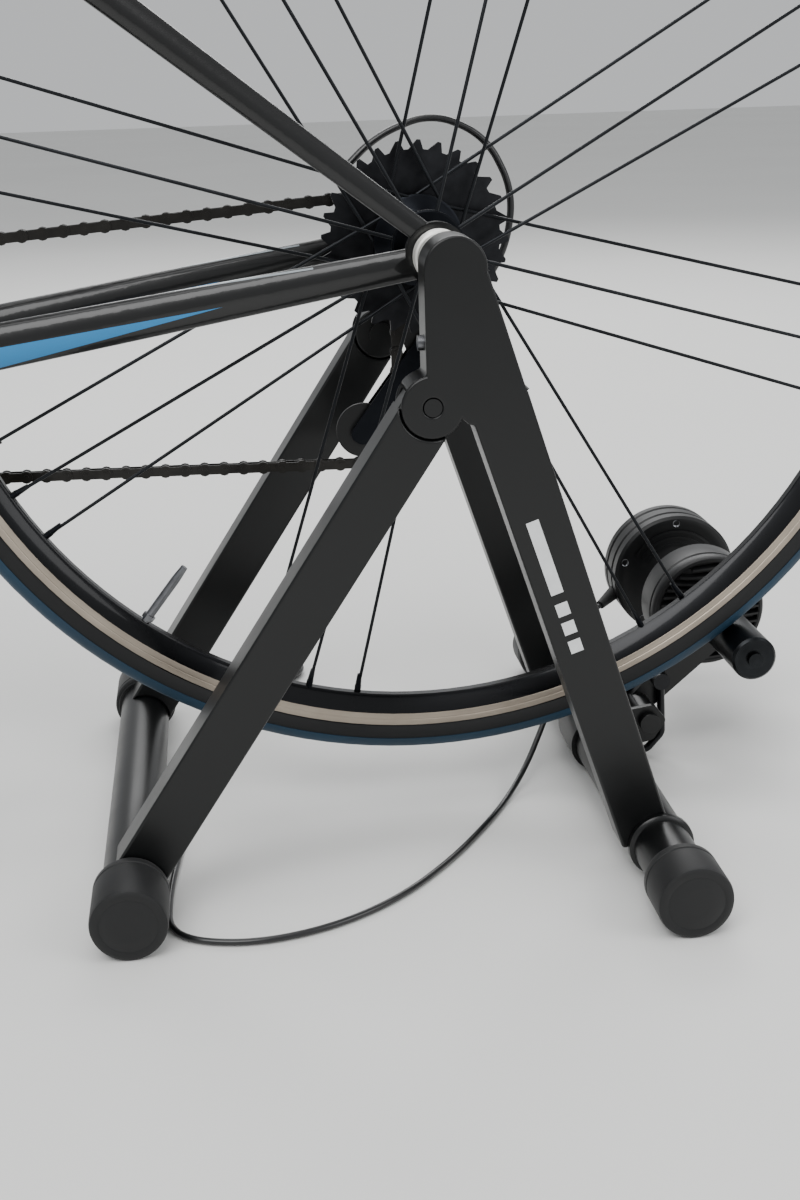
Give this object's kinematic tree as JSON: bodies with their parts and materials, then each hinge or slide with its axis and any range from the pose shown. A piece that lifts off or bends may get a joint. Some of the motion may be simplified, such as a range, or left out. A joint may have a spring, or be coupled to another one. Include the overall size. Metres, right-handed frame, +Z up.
{
  "type": "bicycle on stand",
  "caption": "Road bicycle held by its rear axle in a folding steel training stand with a roller resistance unit under the tyre.",
  "frame": {"origin": "on the floor under the middle of the length, at the middle of the width", "axes": "+X from the front wheel to the rear wheel, +Y towards the chain side, +Z up"},
  "size_m": [1.6521, 0.4736, 1.0291],
  "materials": {
    "frame_paint": "glossy black paint",
    "stand_paint": "glossy black powder coat",
    "bar_rubber": "matt black moulded rubber",
    "steel": "bright zinc plated and turned steel",
    "tyre": "black sidewall, dark tread",
    "rim_alloy": "black anodised with a machined brake track",
    "spoke_steel": "black drawn wire",
    "hub_alloy": "black anodised",
    "chain_steel": "oiled steel",
    "crank_alloy": "grey forged",
    "unit_plastic": "fine grained black moulding",
    "lever_plastic": "black moulded plastic",
    "cable_plastic": "smooth black outer",
    "saddle_skin": "black stitched cover over foam",
    "tape": "black cork tape",
    "carbon": "glossy black paint"
  },
  "bodies": {
    "base": {"rear_leg_near": "stand_paint", "rear_leg_far": "stand_paint", "rear_foot_bar": "stand_paint", "rear_foot_caps": "bar_rubber", "clamp_cup_near": "steel", "fold_pins": "steel", "roller_bracket": "stand_paint", "seat_tube": "frame_paint", "down_tube": "frame_paint", "top_tube": "frame_paint", "head_tube": "frame_paint", "chainstays": "frame_paint", "seatstays": "frame_paint", "seatpost": "hub_alloy", "saddle_rails": "steel", "saddle": "saddle_skin", "rear_skewer": "steel", "front_derailleur": "crank_alloy", "rear_derailleur": "crank_alloy", "gear_cable_loop": "cable_plastic", "chain": "chain_steel", "rear_brake": "hub_alloy", "remote_cable": "cable_plastic", "remote_coil": "cable_plastic", "remote_lever": "lever_plastic"},
    "front_frame": {"front_leg_near": "stand_paint", "front_leg_far": "stand_paint", "front_foot_bar": "stand_paint", "front_foot_caps": "bar_rubber"},
    "clamp_slider": {"clamp_cup_far": "steel"},
    "clamp_handle": {"clamp_screw": "steel"},
    "resistance_arm": {"unit_yoke": "stand_paint", "fin_cover": "unit_plastic", "magnet_housing": "unit_plastic", "cable_gland": "unit_plastic"},
    "tension_lever": {"tension_rod": "steel"},
    "roller_set": {"roller": "steel", "flywheel": "steel"},
    "rear_wheel": {"rear_hub": "hub_alloy", "rear_spokes": "spoke_steel", "rear_rim": "rim_alloy", "rear_tyre": "tyre"},
    "sprockets": {"cassette": "chain_steel"},
    "crankset": {"crank_right": "crank_alloy", "chainrings": "crank_alloy", "crank_left": "crank_alloy"},
    "left_pedal": {"pedal_left": "lever_plastic"},
    "right_pedal": {"pedal_right": "lever_plastic"},
    "cage": {"derailleur_cage": "crank_alloy"},
    "upper_jockey": {"jockey_upper": "lever_plastic"},
    "lower_jockey": {"jockey_lower": "lever_plastic"},
    "steering": {"fork": "carbon", "stem": "hub_alloy", "handlebar": "tape", "shifter_hoods": "bar_rubber"},
    "front_wheel": {"front_hub": "hub_alloy", "front_rim": "rim_alloy", "front_tyre": "tyre"},
    "left_lever": {"brake_lever_left": "crank_alloy"},
    "right_lever": {"brake_lever_right": "crank_alloy"}
  },
  "joints": [
    {"name": "rear_wheel_spin", "type": "hinge", "parent": "base", "child": "rear_wheel", "pos_m": [0.49217, 0, 0.37], "axis": [0, 1, 0], "continuous": true},
    {"name": "cassette_spin", "type": "hinge", "parent": "base", "child": "sprockets", "pos_m": [0.49217, 0, 0.37], "axis": [0, 1, 0], "continuous": true},
    {"name": "crank_spin", "type": "hinge", "parent": "base", "child": "crankset", "pos_m": [0.08956, 0, 0.29724], "axis": [0, 1, 0], "continuous": true},
    {"name": "pedal_left_spin", "type": "hinge", "parent": "crankset", "child": "left_pedal", "pos_m": [0.08956, -0.12, 0.12474], "axis": [0, 1, 0], "continuous": true},
    {"name": "pedal_right_spin", "type": "hinge", "parent": "crankset", "child": "right_pedal", "pos_m": [0.08956, 0.12, 0.46974], "axis": [0, 1, 0], "continuous": true},
    {"name": "cage_swing", "type": "hinge", "parent": "base", "child": "cage", "pos_m": [0.50417, 0.05, 0.304], "axis": [0, -1, 0], "range_deg": [0, 12], "stiffness_Nm_per_rad": 1.5, "springref_deg": -14.32, "deforming": ["chain"]},
    {"name": "jockey_upper_spin", "type": "hinge", "parent": "cage", "child": "upper_jockey", "pos_m": [0.50417, 0.05, 0.304], "axis": [0, 1, 0], "continuous": true},
    {"name": "jockey_lower_spin", "type": "hinge", "parent": "cage", "child": "lower_jockey", "pos_m": [0.45817, 0.05, 0.244], "axis": [0, 1, 0], "continuous": true},
    {"name": "unit_swing", "type": "hinge", "parent": "base", "child": "resistance_arm", "pos_m": [0.64517, 0, 0.036], "axis": [0, 1, 0], "range_deg": [0, 12], "deforming": ["remote_cable"]},
    {"name": "roller_spin", "type": "hinge", "parent": "resistance_arm", "child": "roller_set", "pos_m": [0.70472, 0, 0.093], "axis": [0, 1, 0], "continuous": true},
    {"name": "tension_lever_turn", "type": "hinge", "parent": "resistance_arm", "child": "tension_lever", "pos_m": [0.66017, 0.0315, 0.056], "axis": [0, -1, 0], "range_deg": [0, 12]},
    {"name": "front_legs_fold", "type": "hinge", "parent": "base", "child": "front_frame", "pos_m": [0.47837, 0, 0.2967], "axis": [0, -1, 0], "range_deg": [0, 36], "deforming": ["remote_cable"]},
    {"name": "clamp_slide", "type": "slide", "parent": "base", "child": "clamp_slider", "axis": [0, 1, 0], "range_m": [0, 0.012]},
    {"name": "clamp_turn", "type": "hinge", "parent": "clamp_slider", "child": "clamp_handle", "pos_m": [0.49217, 0, 0.37], "axis": [0, 1, 0], "range_deg": [0, 1728]},
    {"name": "steering_turn", "type": "hinge", "parent": "base", "child": "steering", "pos_m": [-0.31519, 0, 0.8317], "axis": [0.2572, 0, 0.9664], "range_deg": [-45, 45]},
    {"name": "front_wheel_spin", "type": "hinge", "parent": "steering", "child": "front_wheel", "pos_m": [-0.49217, 0, 0.334], "axis": [0, 1, 0], "continuous": true},
    {"name": "brake_lever_left_pull", "type": "hinge", "parent": "steering", "child": "left_lever", "pos_m": [-0.55983, -0.2, 0.86743], "axis": [0, -1, 0], "range_deg": [0, 20], "stiffness_Nm_per_rad": 1, "springref_deg": -11.46},
    {"name": "brake_lever_right_pull", "type": "hinge", "parent": "steering", "child": "right_lever", "pos_m": [-0.55983, 0.2, 0.86743], "axis": [0, -1, 0], "range_deg": [0, 20], "stiffness_Nm_per_rad": 1, "springref_deg": -11.46}
  ],
  "couplings": [
    {"joint": "cassette_spin", "follows": "rear_wheel_spin", "ratio": 1},
    {"joint": "crank_spin", "follows": "rear_wheel_spin", "ratio": 0.38235},
    {"joint": "jockey_upper_spin", "follows": "rear_wheel_spin", "ratio": -1.1818},
    {"joint": "jockey_lower_spin", "follows": "rear_wheel_spin", "ratio": 1.1818},
    {"joint": "roller_spin", "follows": "rear_wheel_spin", "ratio": -22.267},
    {"joint": "clamp_turn", "follows": "clamp_slide", "rad_per_m": 2513.3}
  ]
}
